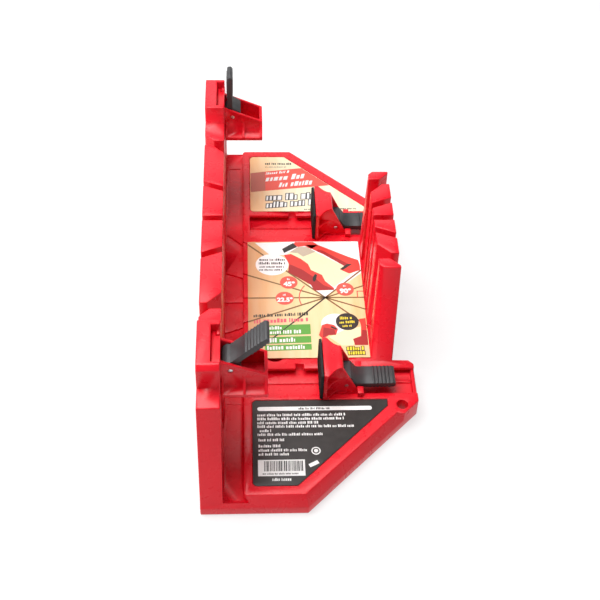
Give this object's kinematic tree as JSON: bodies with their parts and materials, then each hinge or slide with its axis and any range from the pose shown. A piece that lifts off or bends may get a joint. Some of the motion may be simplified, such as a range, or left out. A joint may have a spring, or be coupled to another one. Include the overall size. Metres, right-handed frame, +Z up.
{
  "type": "clamping miter box",
  "caption": "Long red moulded box with two slotted fences that guide a hand saw, sliding cam-lever clamps that press the work against the back fence and down onto the bed.",
  "frame": {"origin": "middle of the underside, which is the middle of the base of the whole object's box", "axes": "+Y along the fences towards the far end, +X from the tall back fence to the short front fence, +Z up"},
  "size_m": [0.149, 0.356, 0.129],
  "materials": {
    "red_abs": "glossy moulded",
    "black_nylon": "satin moulded",
    "black_rubber": "matt, ribbed",
    "bright_steel": "bright drawn",
    "dark_label": "printed film",
    "cream_label": "printed film",
    "printed_card": "printed card"
  },
  "bodies": {
    "box": {"box_body": "red_abs", "near_label": "dark_label", "far_label": "cream_label", "angle_card": "printed_card"},
    "side_clamp_near": {"side_clamp_near_carriage": "red_abs", "side_clamp_near_pad": "black_rubber", "side_clamp_near_pin": "bright_steel"},
    "side_clamp_near_lever": {"side_clamp_near_lever": "black_nylon"},
    "side_clamp_far": {"side_clamp_far_carriage": "red_abs", "side_clamp_far_pad": "black_rubber", "side_clamp_far_pin": "bright_steel"},
    "side_clamp_far_lever": {"side_clamp_far_lever": "black_nylon"},
    "top_clamp_near": {"top_clamp_near_carriage": "red_abs", "top_clamp_near_pad": "black_rubber", "top_clamp_near_pin": "bright_steel"},
    "top_clamp_near_lever": {"top_clamp_near_lever": "black_nylon"},
    "top_clamp_far": {"top_clamp_far_carriage": "red_abs", "top_clamp_far_pad": "black_rubber", "top_clamp_far_pin": "bright_steel"},
    "top_clamp_far_lever": {"top_clamp_far_lever": "black_nylon"}
  },
  "joints": [
    {"name": "side_clamp_near_slide", "type": "slide", "parent": "box", "child": "side_clamp_near", "axis": [1, 0, 0], "range_m": [-0.0498, 0.035]},
    {"name": "side_clamp_far_slide", "type": "slide", "parent": "box", "child": "side_clamp_far", "axis": [1, 0, 0], "range_m": [-0.052, 0.0328]},
    {"name": "top_clamp_near_slide", "type": "slide", "parent": "box", "child": "top_clamp_near", "axis": [0, 0, 1], "range_m": [-0.059, 0]},
    {"name": "top_clamp_far_slide", "type": "slide", "parent": "box", "child": "top_clamp_far", "axis": [0, 0, 1], "range_m": [-0.059, 0]},
    {"name": "side_clamp_near_lever_turn", "type": "hinge", "parent": "side_clamp_near", "child": "side_clamp_near_lever", "pos_m": [0.0246, -0.0804, 0.0215], "axis": [0, -1, 0], "range_deg": [0, 90]},
    {"name": "side_clamp_far_lever_turn", "type": "hinge", "parent": "side_clamp_far", "child": "side_clamp_far_lever", "pos_m": [0.0268, 0.0804, 0.0215], "axis": [0, -1, 0], "range_deg": [0, 90]},
    {"name": "top_clamp_near_lever_turn", "type": "hinge", "parent": "top_clamp_near", "child": "top_clamp_near_lever", "pos_m": [-0.054, -0.1266, 0.0945], "axis": [0, 1, 0], "range_deg": [-45, 45]},
    {"name": "top_clamp_far_lever_turn", "type": "hinge", "parent": "top_clamp_far", "child": "top_clamp_far_lever", "pos_m": [-0.054, 0.1266, 0.0945], "axis": [0, 1, 0], "range_deg": [0, 90]}
  ]
}
